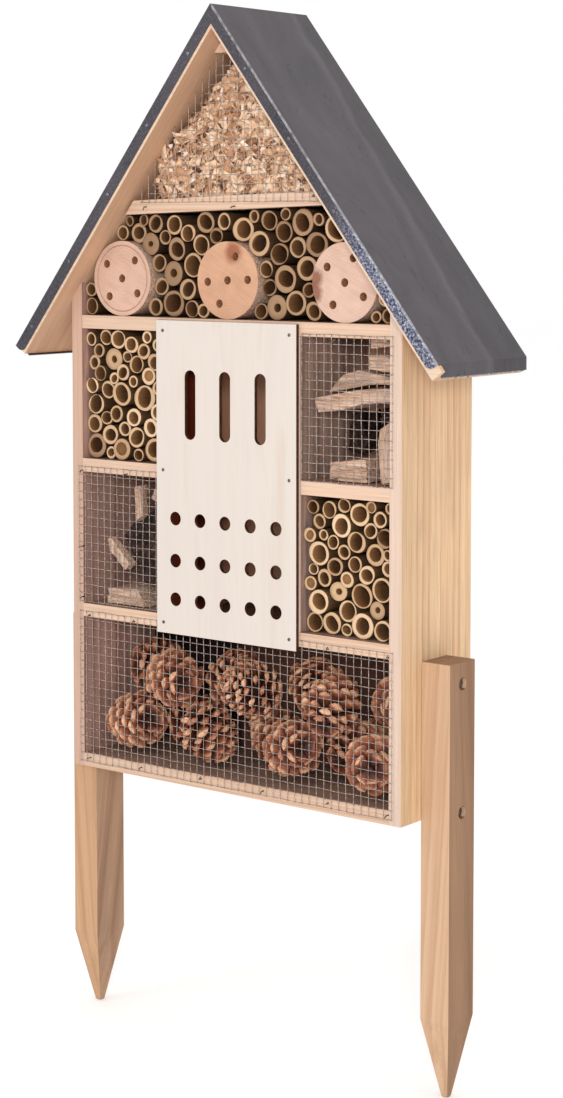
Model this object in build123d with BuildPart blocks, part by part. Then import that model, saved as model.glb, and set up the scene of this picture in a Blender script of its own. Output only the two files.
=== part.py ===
from build123d import *
import math
import os
import random

os.makedirs("parts", exist_ok=True)

# Insect hotel: a gabled pine box between two ground stakes, filled with bamboo, drilled logs, bark, wood
# shavings and cones. X is to the right, Y to the back, Z up. The stake tips are at Z = 0, the middle of the
# box is at X = 0 and the middle of the roof's depth at Y = 0. Lengths are in millimetres, angles in degrees.

# ---- Box ----
body_width = 300.0
body_depth = 85.0
board = 10.0
back_thickness = 4.0
box_bottom = 195.0
lower_bay = 103.8
left_lower_bay = 99.2
right_lower_bay = 96.5
middle_bay = 206.2
wall_top = 364.0
divider_spread = 129.2
gable_bay = 77.4
gable_shelf_tilt = 1.9
gable_shelf_gap = 3.2
apex_block_height = 15.7
apex_block_depth = 20.0

# ---- Roof ----
roof_pitch = 52.0
front_overhang = 18.0
back_overhang = 5.3
right_eave = 36.0
left_eave = 32.0
sheet = 0.6
flange = 8.6
flange_seam = 0.8
flange_corner = 5.0
right_hem = 9.0
right_hem_setback = 3.8
left_hem_lip = 1.5
hem_start = 4.0
ridge_bend = 0.8

# ---- Front panel ----
panel_width = 127.6
panel_height = 227.5
panel_thickness = 3.0
panel_offset = -0.6
panel_bottom = 110.8
slot_width = 10.0
slot_length = 50.0
slot_pitch = 32.0
slot_count = 3
slot_bottom = 142.2
hole_diameter = 10.0
hole_pitch = 23.0
hole_columns = 5
hole_rows = (25.5, 53.7, 84.3)
panel_nail_inset = 6.2
panel_nail_heights = (7.7, 119.0, 220.0)

# ---- Stakes ----
stake_width = 23.5
stake_depth = 31.0
stake_setback = 24.0
stake_point = 56.5
stake_tip = 5.0
stake_rise = 110.0
screw_heights = (6.0, 95.0)
screw_radius = 2.0
screw_head_radius = 3.9
screw_head_height = 2.6
screw_hole_radius = 2.15
recess_radius = 4.5
recess_depth = 5.0
screw_bite = 7.5

# ---- Nails and wire ----
nail_radius = 0.7
nail_length = 24.0
nail_head_radius = 1.4
nail_head_height = 0.5
small_nail_radius = 0.5
small_nail_length = 9.0
small_nail_head_radius = 1.2
back_nail_spacing = 75.0
back_nail_inset = 30.0
roof_nail_spacing = 62.0
roof_nail_starts = {1: 42.0, -1: 26.0}
roof_nail_rise = 4.7
pilot_clearance = 0.05
wire = 0.6
cell = 6.35
weld_gap = 0.02
mesh_lap = 5.0
mesh_foot = 3.2
mesh_end = 5.0
mesh_level_end = 12.0
panel_gap = 0.9

# ---- Filling ----
log_diameter = 55.0
log_length = 62.0
log_roof_gap = 0.9
log_offset = -1.5
log_recess = 1.5
bore_diameter = 6.0
bore_depth = 45.0
bore_ring = 18.2
bore_angles = ((47, 145, 227, 324), (2, 68, 184, 246), (67, 145, 237, 329))
tube_smallest = 8.0
bay_tubes = (12.0, 21.0)
upper_tubes = (15.0, 23.0)
stack_tries = 12
tube_gap = 0.2
tube_bore_share = 0.68
tube_bore_depth = 55.0
tube_recess = (3.0, 7.0)
chunk_gap = 0.4
pile_front = 2.0
pile_drop = 26.0
pile_peak = 2.0
pile_foot = 18.0
pile_brow = 5.0
pile_edge = 0.9
cone_diameter = 41.0
cone_height = 47.0
cone_shoulder = 5.6
cone_gap = 1.0

# ---- Worked out from the sizes above ----
slope = math.radians(roof_pitch)
half = body_width / 2
inner = half - board
roof_depth = body_depth + front_overhang + back_overhang
roof_front = -roof_depth / 2
roof_back = roof_depth / 2
box_front = roof_front + front_overhang
box_back = box_front + body_depth
inner_depth = body_depth - back_thickness
apex = box_bottom + wall_top + inner * math.tan(slope)
lower_top = box_bottom + board + lower_bay + board
left_mid_top = lower_top + left_lower_bay + board
right_mid_top = lower_top + right_lower_bay + board
upper_underside = lower_top + middle_bay
upper_top = upper_underside + board
divider_outer = divider_spread / 2
gable_underside = upper_top + gable_bay
panel_z = box_bottom + panel_bottom
panel_left = panel_offset - panel_width / 2
panel_right = panel_offset + panel_width / 2
front_plane = Plane.XZ.offset(-box_front)
mesh_front = box_front - 2 * wire - weld_gap

FRONT, BACK = (90, 0, 0), (-90, 0, 0)
RIGHT, LEFT = (0, 90, 0), (0, -90, 0)
OUT = (Align.CENTER, Align.CENTER, Align.MIN)
IN = (Align.CENTER, Align.CENTER, Align.MAX)
SIDES = (("left", -1), ("right", 1))


def under_roof(x):
    """Height of the roof boards' underside."""
    return apex - abs(x) * math.tan(slope)


def roof_point(run, lift, side, along=0.0):
    """A point lift above the underside, square to the slope, and along further down the slope."""
    x = run + lift * math.sin(slope) + along * math.cos(slope)
    z = apex - run * math.tan(slope) + lift * math.cos(slope) - along * math.sin(slope)
    return (side * x, z)


def ridge_point(lift):
    """Where two planes lift above the undersides meet, over the middle."""
    return (0, apex + lift / math.cos(slope))


def gable_line(x, lift):
    """Height on the tilted gable shelf, lift above its underside."""
    tilt = math.radians(gable_shelf_tilt)
    return gable_underside + x * math.tan(tilt) + lift / math.cos(tilt)


def save(part, name):
    """Labels a finished piece and writes it."""
    part.label = name
    export_step(part, f"parts/{name}.step")


def block(x, y, z, mode=Mode.ADD):
    """A box from pairs of limits."""
    with Locations(((x[0] + x[1]) / 2, (y[0] + y[1]) / 2, (z[0] + z[1]) / 2)):
        Box(x[1] - x[0], y[1] - y[0], z[1] - z[0], mode=mode)


def nails(places, radius, length, head_radius, head_height=nail_head_height):
    """Nails with their heads standing out along each place's Z and their shanks going in."""
    with Locations(*places):
        Cylinder(head_radius, head_height, align=OUT)
        Cylinder(radius, length, align=IN)


def pilots(places, radius, depth):
    """Nail holes that run inwards from each place."""
    if places:
        with Locations(*places):
            Cylinder(radius + pilot_clearance, depth, align=IN, mode=Mode.SUBTRACT)


# ---- Places of the nails ----
def back_nails_at(height, spread):
    """Places of the back panel's nails into a board whose middle is at this height."""
    steps = max(1, math.floor(spread / back_nail_spacing))
    return [
        Location(((k / steps - 0.5) * spread, box_back, height), BACK) for k in range(steps + 1)
    ]


def roof_nails_at(side, face_y, facing):
    """Places of the nails along one sloping edge of the roof."""
    lift = board + sheet - roof_nail_rise
    run_end = (right_eave if side > 0 else left_eave) + half
    reach = run_end / math.cos(slope) - flange
    count = int((reach - roof_nail_starts[side]) / roof_nail_spacing) + 1
    found = []
    for k in range(count):
        run = (roof_nail_starts[side] + k * roof_nail_spacing) * math.cos(slope)
        x, z = roof_point(run, lift, side)
        found.append(Location((x, face_y, z), facing))
    return found


def spans(low, high):
    """Places of parallel wires, one cell apart and centred between two limits."""
    count = int((high - low - wire) / cell)
    first = (low + high - count * cell) / 2
    return [first + k * cell for k in range(count + 1)]


def mesh_nail(xs, zs, column, row):
    """A nail place in the middle of a mesh cell, counted from the nearer corner."""
    x = (xs[column] + xs[column + 1]) / 2 if column >= 0 else (xs[column] + xs[column - 1]) / 2
    z = (zs[row] + zs[row + 1]) / 2 if row >= 0 else (zs[row] + zs[row - 1]) / 2
    return Location((x, mesh_front, z), FRONT)


# Limits of the four wire meshes: each laps over the edges of the boards round its bay.
right_xs = spans(panel_right + panel_gap, inner + mesh_lap)
right_zs = spans(right_mid_top - mesh_foot, upper_underside + mesh_lap)
left_xs = spans(-inner - mesh_lap, panel_left - panel_gap)
left_zs = spans(lower_top + wire, left_mid_top - mesh_lap)
bottom_xs = spans(-inner - mesh_lap, inner + mesh_lap)
bottom_zs = spans(box_bottom + mesh_foot, lower_top - mesh_lap)
gable_half = (apex - gable_underside - board) / math.tan(slope) - cell - mesh_foot
gable_xs = spans(-gable_half, gable_half)
gable_zs = spans(gable_underside + mesh_foot, apex - apex_block_height - wire)

right_mesh_nails = [
    mesh_nail(right_xs, right_zs, c, r) for c, r in ((4, -1), (4, 0), (-1, -1), (-1, 7), (-1, 0))
]
left_mesh_nails = [mesh_nail(left_xs, left_zs, c, r) for c, r in ((0, -1), (7, -1), (0, 6), (0, 0))]
bottom_mesh_nails = [
    mesh_nail(bottom_xs, bottom_zs, c, 0) for c in (1, 9, 18, 27, 36, -1)
] + [mesh_nail(bottom_xs, bottom_zs, c, -1) for c in (1, 8, -9, -1)]
gable_nail_xs = [mesh_nail(gable_xs, gable_zs, c, 0).position.X for c in (0, len(gable_xs) // 2, -1)]


def gable_nail_z(x):
    """Height of the middle of the mesh cell nearest to the middle of the gable shelf's edge."""
    row = round((gable_line(x, board / 2) - gable_zs[0]) / cell - 0.5)
    return gable_zs[0] + (row + 0.5) * cell


gable_mesh_nails = [Location((x, mesh_front, gable_nail_z(x)), FRONT) for x in gable_nail_xs]
mesh_nails = right_mesh_nails + left_mesh_nails + bottom_mesh_nails + gable_mesh_nails

panel_nails = [
    Location((x, box_front - panel_thickness, panel_z + z), FRONT)
    for x in (panel_left + panel_nail_inset, panel_right - panel_nail_inset)
    for z in panel_nail_heights
]
front_nails = mesh_nails + panel_nails


def front_pilots():
    """Holes for the small nails, cut where they meet the piece being made."""
    places = [Location((p.position.X, box_front, p.position.Z), FRONT) for p in front_nails]
    pilots(places, small_nail_radius, small_nail_length)


screw_places = {
    side: [
        Location(
            (side * (half + stake_width), box_front + stake_setback + stake_depth / 2, box_bottom + z),
            RIGHT if side > 0 else LEFT,
        )
        for z in screw_heights
    ]
    for name, side in SIDES
}
shelf_heights = {
    "bottom": box_bottom + board / 2,
    "lower": lower_top - board / 2,
    "upper": upper_top - board / 2,
}
back_spread = 2 * (inner - back_nail_inset)
back_nails = [place for height in shelf_heights.values() for place in back_nails_at(height, back_spread)]

# ---- Side walls ----
for name, side in SIDES:
    with BuildPart() as side_wall:
        with BuildSketch(front_plane):
            Polygon(
                (side * half, box_bottom),
                (side * inner, box_bottom),
                (side * inner, under_roof(inner)),
                (side * half, under_roof(half)),
            )
        extrude(amount=-body_depth)
        entries = [
            Location((side * half, p.position.Y, p.position.Z), p.orientation) for p in screw_places[side]
        ]
        pilots(entries, screw_radius, screw_bite + pilot_clearance)
        front_pilots()
    save(side_wall.part, f"{name}_side_wall")


# ---- Shelves, dividers and back panel ----
def shelf_pilots(key):
    """Nail holes in a shelf's back and front edges."""
    places = back_nails_at(shelf_heights[key], back_spread)
    pilots(places, small_nail_radius, back_thickness + small_nail_length)
    front_pilots()


inner_y = (box_front, box_front + inner_depth)
with BuildPart() as bottom_board:
    block((-inner, inner), inner_y, (box_bottom, box_bottom + board))
    shelf_pilots("bottom")
save(bottom_board.part, "bottom_board")

with BuildPart() as lower_shelf:
    block((-inner, inner), inner_y, (lower_top - board, lower_top))
    shelf_pilots("lower")
save(lower_shelf.part, "lower_shelf")

with BuildPart() as upper_shelf:
    block((-inner, inner), inner_y, (upper_underside, upper_top))
    shelf_pilots("upper")
save(upper_shelf.part, "upper_shelf")

for name, side in SIDES:
    outer_x, inner_x = side * divider_outer, side * (divider_outer - board)
    with BuildPart() as divider:
        block(sorted((outer_x, inner_x)), inner_y, (lower_top, upper_underside))
        front_pilots()
    save(divider.part, f"{name}_divider")

mid_tops = {"left": left_mid_top, "right": right_mid_top}
for name, side in SIDES:
    with BuildPart() as mid_shelf:
        limits = sorted((side * divider_outer, side * inner))
        block(limits, inner_y, (mid_tops[name] - board, mid_tops[name]))
        front_pilots()
    save(mid_shelf.part, f"{name}_mid_shelf")

with BuildPart() as center_mid_shelf:
    reach = divider_outer - board
    block((-reach, reach), inner_y, (right_mid_top - board, right_mid_top))
save(center_mid_shelf.part, "center_mid_shelf")

with BuildPart() as back_panel:
    with BuildSketch(Plane.XZ.offset(-box_back)):
        Polygon(
            (-inner, box_bottom),
            (inner, box_bottom),
            (inner, under_roof(inner)),
            (0, apex),
            (-inner, under_roof(inner)),
        )
    extrude(amount=back_thickness)
    pilots(back_nails, small_nail_radius, back_thickness)
save(back_panel.part, "back_panel")


# ---- Gable shelf, a little out of level, and the block under the ridge ----
def meets_roof(lift, side, gap):
    """The point where a line on the gable shelf comes within gap of the roof."""
    tilt = math.radians(gable_shelf_tilt)
    drop = apex - gap / math.cos(slope) - gable_line(0, lift)
    x = side * drop / (math.tan(slope) + side * math.tan(tilt))
    return (x, gable_line(x, lift))


with BuildPart() as gable_shelf:
    with BuildSketch(front_plane):
        Polygon(
            meets_roof(0, -1, gable_shelf_gap),
            meets_roof(0, 1, 0),
            meets_roof(board, 1, 0),
            meets_roof(board, -1, gable_shelf_gap),
        )
    extrude(amount=-inner_depth)
    front_pilots()
save(gable_shelf.part, "gable_shelf")

with BuildPart() as apex_block:
    block_half = apex_block_height / math.tan(slope)
    with BuildSketch(front_plane):
        Polygon((-block_half, apex - apex_block_height), (block_half, apex - apex_block_height), (0, apex))
    extrude(amount=-apex_block_depth)
save(apex_block.part, "apex_block")

# ---- Roof boards ----
eaves = {-1: half + left_eave, 1: half + right_eave}
hem_x = roof_point(eaves[1], board, 1)[0] - right_hem_setback
for name, side in SIDES:
    with BuildPart() as roof_board:
        with BuildSketch(Plane.XZ.offset(-roof_front)):
            Polygon(
                ridge_point(0),
                roof_point(eaves[side], 0, side),
                roof_point(eaves[side], board, side),
                ridge_point(board),
            )
        extrude(amount=-roof_depth)
        if side > 0:
            end_y = (roof_front + hem_start, roof_back)
            block((hem_x, hem_x + board), end_y, (box_bottom, apex), mode=Mode.SUBTRACT)
        pilots(roof_nails_at(side, roof_front, FRONT), nail_radius, nail_length)
        pilots(roof_nails_at(side, roof_back, BACK), nail_radius, nail_length)
    save(roof_board.part, f"{name}_roof_board")

# ---- Roof sheet: one folded sheet with flanges over both gable edges and a hem at each eave ----
outer_lift = board + sheet
right_outer_x = hem_x + sheet


def sloped_z(x, lift):
    """Height at x of a plane lift above the roof boards' underside."""
    return ridge_point(lift)[1] - abs(x) * math.tan(slope)


left_fold = roof_point(eaves[-1], outer_lift, -1, along=sheet)
right_fold = (right_outer_x, sloped_z(right_outer_x, outer_lift))
with BuildPart() as roof_sheet:
    with BuildSketch(Plane.XZ.offset(-roof_front + sheet)):
        Polygon(
            ridge_point(outer_lift),
            right_fold,
            (right_outer_x, sloped_z(right_outer_x, board)),
            ridge_point(board),
            roof_point(eaves[-1], board, -1, along=sheet),
            left_fold,
        )
    extrude(amount=-(roof_depth + 2 * sheet))
    with BuildSketch(Plane.XZ.offset(-roof_front - hem_start)):
        Polygon(
            right_fold,
            (right_outer_x, right_fold[1] - right_hem),
            (hem_x, right_fold[1] - right_hem),
            (hem_x, sloped_z(hem_x, outer_lift)),
        )
        Polygon(
            left_fold,
            roof_point(eaves[-1], -left_hem_lip, -1, along=sheet),
            roof_point(eaves[-1], -left_hem_lip, -1),
            roof_point(eaves[-1], outer_lift, -1),
        )
    extrude(amount=-(roof_depth - hem_start + sheet))
    for face_y, facing in ((roof_front, FRONT), (roof_back, BACK)):
        for name, side in SIDES:
            fold = right_fold if side > 0 else left_fold
            end_run = abs(fold[0]) - outer_lift * math.sin(slope)
            seam = side * flange_seam / 2
            with BuildSketch(Plane.XZ.offset(-face_y)) as flange_outline:
                Polygon(
                    (seam, sloped_z(seam, outer_lift)),
                    fold,
                    roof_point(end_run, outer_lift - flange, side),
                    (seam, sloped_z(seam, outer_lift - flange)),
                )
                fillet(flange_outline.vertices().group_by(Axis.Y)[0], flange_corner)
            extrude(amount=sheet if facing == FRONT else -sheet)
            outer_y = face_y + math.copysign(sheet, face_y)
            pilots(roof_nails_at(side, outer_y, facing), nail_radius, sheet)
    fillet(roof_sheet.edges().filter_by(Axis.Y).sort_by(Axis.Z)[-1], ridge_bend)
save(roof_sheet.part, "roof_sheet")

with BuildPart() as roof_nails:
    for face_y, facing in ((roof_front - sheet, FRONT), (roof_back + sheet, BACK)):
        for name, side in SIDES:
            nails(roof_nails_at(side, face_y, facing), nail_radius, nail_length, nail_head_radius)
save(roof_nails.part, "roof_nails")

# ---- Front panel with its slots and holes ----
with BuildPart() as front_panel:
    with BuildSketch(front_plane) as panel_outline:
        with Locations((panel_offset, panel_z + panel_height / 2)):
            Rectangle(panel_width, panel_height)
        with Locations((panel_offset, panel_z + slot_bottom + slot_length / 2)):
            with GridLocations(slot_pitch, slot_length, slot_count, 1):
                SlotOverall(slot_length, slot_width, rotation=90, mode=Mode.SUBTRACT)
        for row in hole_rows:
            with Locations((panel_offset, panel_z + row)):
                with GridLocations(hole_pitch, hole_pitch, hole_columns, 1):
                    Circle(hole_diameter / 2, mode=Mode.SUBTRACT)
    extrude(amount=panel_thickness)
    pilots(panel_nails, small_nail_radius, panel_thickness)
save(front_panel.part, "front_panel")

with BuildPart() as panel_nail_set:
    nails(panel_nails, small_nail_radius, small_nail_length, small_nail_head_radius)
save(panel_nail_set.part, "panel_nails")

with BuildPart() as back_nail_set:
    nails(back_nails, small_nail_radius, back_thickness + small_nail_length, small_nail_head_radius)
save(back_nail_set.part, "back_nails")

# ---- Wire meshes: upright wires in front, level wires behind them against the boards ----
level_y = box_front - wire / 2
upright_y = box_front - wire * 1.5 - weld_gap


def upright_wire(x, low, high):
    """An upright wire between two heights."""
    with Locations((x, upright_y, low)):
        Cylinder(wire / 2, high - low, align=OUT)


def level_wire(z, left, right):
    """A level wire between two ends."""
    with Locations(Location((left, level_y, z), RIGHT)):
        Cylinder(wire / 2, right - left, align=OUT)


def grid(xs, zs):
    """A full rectangular mesh, its wires running half a wire past the last crossing."""
    for x in xs:
        upright_wire(x, zs[0] - wire / 2, zs[-1] + wire / 2)
    for z in zs:
        level_wire(z, xs[0] - wire / 2, xs[-1] + wire / 2)


with BuildPart() as right_upper_mesh:
    grid(right_xs, right_zs)
save(right_upper_mesh.part, "right_upper_mesh")

with BuildPart() as left_lower_mesh:
    grid(left_xs, left_zs)
save(left_lower_mesh.part, "left_lower_mesh")

with BuildPart() as bottom_mesh:
    cut_left, cut_right = panel_left - panel_gap, panel_right + panel_gap
    cut_top = panel_z - panel_gap
    for x in bottom_xs:
        behind_panel = cut_left - wire < x < cut_right + wire
        upright_wire(x, bottom_zs[0] - wire / 2, cut_top if behind_panel else bottom_zs[-1] + wire / 2)
    for z in bottom_zs:
        if z < cut_top - wire:
            level_wire(z, bottom_xs[0] - wire / 2, bottom_xs[-1] + wire / 2)
        else:
            level_wire(z, bottom_xs[0] - wire / 2, cut_left)
            level_wire(z, cut_right, bottom_xs[-1] + wire / 2)
save(bottom_mesh.part, "bottom_mesh")

with BuildPart() as gable_mesh:
    for x in gable_xs:
        top = min(under_roof(x) - mesh_end, apex - apex_block_height)
        upright_wire(x, gable_zs[0] - wire / 2, top)
    for z in gable_zs:
        reach = min((apex - z) / math.tan(slope) - mesh_level_end, gable_half + wire / 2)
        if reach > cell:
            level_wire(z, -reach, reach)
save(gable_mesh.part, "gable_mesh")

with BuildPart() as mesh_nail_set:
    nails(mesh_nails, small_nail_radius, small_nail_length, small_nail_head_radius)
save(mesh_nail_set.part, "mesh_nails")

# ---- Stakes and their screws ----
for name, side in SIDES:
    stake_x = side * (half + stake_width / 2)
    stake_y = box_front + stake_setback + stake_depth / 2
    with BuildPart() as stake:
        with BuildSketch(Plane((stake_x, stake_y, stake_point))):
            Rectangle(stake_width, stake_depth)
        extrude(amount=box_bottom + stake_rise - stake_point)
        with BuildSketch(Plane((stake_x, stake_y, stake_point))):
            Rectangle(stake_width, stake_depth)
        with BuildSketch(Plane((stake_x, stake_y, 0))):
            Rectangle(stake_tip, stake_tip)
        loft()
        with Locations(*screw_places[side]):
            CounterBoreHole(screw_hole_radius, recess_radius, recess_depth, depth=stake_width)
    save(stake.part, f"{name}_stake")

with BuildPart() as stake_screws:
    for name, side in SIDES:
        seats = [
            Location((side * (half + stake_width - recess_depth), p.position.Y, p.position.Z), p.orientation)
            for p in screw_places[side]
        ]
        grip = stake_width - recess_depth + screw_bite
        nails(seats, screw_radius, grip, screw_head_radius, screw_head_height)
save(stake_screws.part, "stake_screws")

# ---- Drilled logs ----
log_z = upper_top + log_diameter / 2 + tube_gap / 2
log_clear = log_diameter / 2 + log_roof_gap
log_x = min((apex - log_z - log_clear / math.cos(slope)) / math.tan(slope), inner - log_clear)
log_xs = (-log_x, log_offset, log_x)
for name, x, angles in zip(("left", "center", "right"), log_xs, bore_angles):
    with BuildPart() as log:
        face = Plane((x, box_front + log_recess, log_z), x_dir=(1, 0, 0), z_dir=(0, -1, 0))
        with BuildSketch(face):
            Circle(log_diameter / 2)
        extrude(amount=-log_length)
        bores = [(0.0, 0.0)] + [
            (bore_ring * math.cos(math.radians(a)), bore_ring * math.sin(math.radians(a))) for a in angles
        ]
        with BuildSketch(face):
            with Locations(*bores):
                Circle(bore_diameter / 2)
        extrude(amount=-bore_depth, mode=Mode.SUBTRACT)
    save(log.part, f"{name}_log")


# ---- Bamboo: each tube is set down on the ones below it, like a stack built from the bottom ----
def on_two_circles(a, b, radius):
    """Centres of a circle of this radius that touches circles a and b."""
    (ax, az, ar), (bx, bz, br) = a, b
    ra, rb = ar + radius, br + radius
    span = math.hypot(bx - ax, bz - az)
    if span > ra + rb or span < 1e-6:
        return []
    along = (ra**2 - rb**2 + span**2) / (2 * span)
    across = math.sqrt(max(ra**2 - along**2, 0))
    ux, uz = (bx - ax) / span, (bz - az) / span
    return [(ax + along * ux - s * across * uz, az + along * uz + s * across * ux) for s in (-1, 1)]


def on_line_and_circle(line, circle, radius):
    """Centres of a circle that touches a wall (nx, nz, d) and a circle."""
    (nx, nz, d), (cx, cz, cr) = line, circle
    off = d + radius - (nx * cx + nz * cz)
    reach = cr + radius
    if abs(off) > reach:
        return []
    across = math.sqrt(reach**2 - off**2)
    return [(cx + off * nx - s * across * nz, cz + off * nz + s * across * nx) for s in (-1, 1)]


def on_two_lines(a, b, radius):
    """The centre of a circle that touches two walls."""
    turn = a[0] * b[1] - a[1] * b[0]
    if abs(turn) < 1e-6:
        return []
    da, db = a[2] + radius, b[2] + radius
    return [((da * b[1] - db * a[1]) / turn, (a[0] * db - b[0] * da) / turn)]


def lowest_spot(radius, walls, circles):
    """The lowest place where a circle touches two things and is clear of the rest."""
    found = [p for k, a in enumerate(walls) for b in walls[k + 1 :] for p in on_two_lines(a, b, radius)]
    found += [p for a in walls for b in circles for p in on_line_and_circle(a, b, radius)]
    pairs = [(a, b) for k, a in enumerate(circles) for b in circles[k + 1 :]]
    found += [p for a, b in pairs for p in on_two_circles(a, b, radius)]
    for x, z in sorted(found, key=lambda p: p[1]):
        clear_of_walls = all(nx * x + nz * z - d > radius - 1e-6 for nx, nz, d in walls)
        if clear_of_walls and all(math.hypot(x - cx, z - cz) > radius + cr - 1e-6 for cx, cz, cr in circles):
            return (x, z)
    return None


def stack(walls, fixed, sizes, seed):
    """Fills a bay with tubes of a usual and a largest size; returns the x, z and radius of each."""
    rng = random.Random(seed)
    usual, largest = sizes
    circles = list(fixed)
    misses = 0
    while misses < stack_tries:
        top = largest - misses * (largest - tube_smallest) / stack_tries
        diameter = rng.triangular(tube_smallest, top, min(usual, top))
        spot = lowest_spot((diameter + tube_gap) / 2, walls, circles)
        if spot:
            circles.append((*spot, (diameter + tube_gap) / 2))
        else:
            misses += 1
    return [(x, z, r - tube_gap / 2) for x, z, r in circles[len(fixed) :]]


def tubes(places, seed):
    """Bamboo tubes, open in front and closed by a joint further back."""
    rng = random.Random(seed)
    for x, z, radius in places:
        front = box_front + rng.uniform(*tube_recess)
        with Locations(Location((x, front, z), FRONT)):
            Cylinder(radius, box_front + inner_depth - front, align=IN)
            Cylinder(radius * tube_bore_share, tube_bore_depth, align=IN, mode=Mode.SUBTRACT)


def bay_walls(left, right, floor, ceiling):
    """The four sides of a bay as walls (nx, nz, d)."""
    return [(0, 1, floor), (1, 0, left), (-1, 0, -right), (0, -1, -ceiling)]


tilt_angle = math.radians(gable_shelf_tilt)
roof_walls = [
    (-side * math.sin(slope), -math.cos(slope), -apex * math.cos(slope)) for name, side in SIDES
]
shelf_wall = (math.sin(tilt_angle), -math.cos(tilt_angle), -gable_underside * math.cos(tilt_angle))
upper_walls = [(0, 1, upper_top), (1, 0, -inner), (-1, 0, -inner)] + roof_walls + [shelf_wall]
log_circles = [(x, log_z, log_diameter / 2 + tube_gap / 2) for x in log_xs]
with BuildPart() as upper_bamboo:
    tubes(stack(upper_walls, log_circles, upper_tubes, seed=4), seed=14)
save(upper_bamboo.part, "upper_bamboo")

left_walls = bay_walls(-inner, -divider_outer, left_mid_top, upper_underside)
with BuildPart() as left_bamboo:
    tubes(stack(left_walls, [], bay_tubes, seed=2), seed=12)
save(left_bamboo.part, "left_bamboo")

right_walls = bay_walls(divider_outer, inner, lower_top, right_mid_top - board)
with BuildPart() as right_bamboo:
    tubes(stack(right_walls, [], bay_tubes, seed=5), seed=15)
save(right_bamboo.part, "right_bamboo")

# ---- Shavings heaped on the gable shelf ----
with BuildPart() as wood_shavings:
    with BuildSketch(Plane.XZ.offset(-box_front - pile_front)):
        left_x = meets_roof(board, -1, gable_shelf_gap)[0] + pile_foot
        brow_x = left_x + pile_brow
        headroom = under_roof(brow_x) - gable_line(brow_x, board)
        corner = meets_roof(board + chunk_gap, 1, chunk_gap * 2)
        crest = apex - pile_drop
        Polygon(
            (left_x, gable_line(left_x, board + chunk_gap)),
            corner,
            ((apex - crest) / math.tan(slope) - chunk_gap * 2, crest),
            (pile_peak, crest),
            (brow_x, gable_line(brow_x, board) + pile_edge * headroom),
        )
    extrude(amount=-(inner_depth - pile_front - chunk_gap))
save(wood_shavings.part, "wood_shavings")

# ---- Pieces of wood and bark, wedged in the two open bays: each one's depths and outline are in
# hundredths of its bay ----
right_bay = (divider_outer, right_mid_top)
left_bay = (-inner, lower_top)
right_span = (inner - divider_outer, upper_underside - right_mid_top)
left_span = (inner - divider_outer, left_mid_top - board - lower_top)
chunks = {
    "wood_block": (right_bay, right_span, (10, 58), ((24, 0), (68, 0), (66, 17), (24, 13))),
    "wood_strip": (right_bay, right_span, (8, 42), ((84, 0), (99, 0), (99, 47), (82, 38), (80, 27))),
    "bark_curl": (right_bay, right_span, (48, 78), ((14, 18), (36, 17), (38, 24), (30, 46), (19, 45))),
    "bark_board": (right_bay, right_span, (65, 95), ((40, 0), (82, 0), (80, 52), (41, 49))),
    "wood_slab": (
        right_bay, right_span, (6, 62),
        ((14, 47), (44, 50), (66, 55), (99, 57), (99, 67), (60, 65), (9, 58)),
    ),
    "wood_shard": (
        right_bay, right_span, (22, 92),
        ((12, 60), (60, 67), (99, 69), (99, 73), (81, 74), (48, 78), (30, 74)),
    ),
    "wood_wedge": (right_bay, right_span, (18, 75), ((62, 78), (99, 76), (99, 84), (80, 89), (62, 89))),
    "wood_lath": (right_bay, right_span, (22, 75), ((61, 92), (99, 96), (99, 100), (61, 100))),
    "wood_offcut": (left_bay, left_span, (10, 62), ((21, 0), (72, 0), (62, 14), (23, 12))),
    "bark_flake": (left_bay, left_span, (5, 15), ((25, 50), (31, 52), (57, 33), (50, 27), (29, 41))),
    "bark_slab": (left_bay, left_span, (18, 92), ((34, 52), (64, 17), (96, 12), (96, 78), (58, 70))),
    "wood_stick": (left_bay, left_span, (6, 16), ((62, 92), (70, 93), (72, 70), (62, 64))),
    "bark_chip": (left_bay, left_span, (10, 28), ((80, 83), (84, 91), (93, 90), (95, 83), (90, 80))),
}
for name, (corner, span, depths, outline) in chunks.items():
    with BuildPart() as chunk:
        with BuildSketch(Plane.XZ.offset(-box_front - depths[0] / 100 * inner_depth)):
            Polygon(
                *[
                    (
                        corner[0] + chunk_gap + x / 100 * (span[0] - 2 * chunk_gap),
                        corner[1] + chunk_gap + z / 100 * (span[1] - 2 * chunk_gap),
                    )
                    for x, z in outline
                ]
            )
        extrude(amount=-(depths[1] - depths[0]) / 100 * inner_depth)
        chamfer(chunk.edges().filter_by(Axis.Y), chunk_gap)
    save(chunk.part, name)

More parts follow.
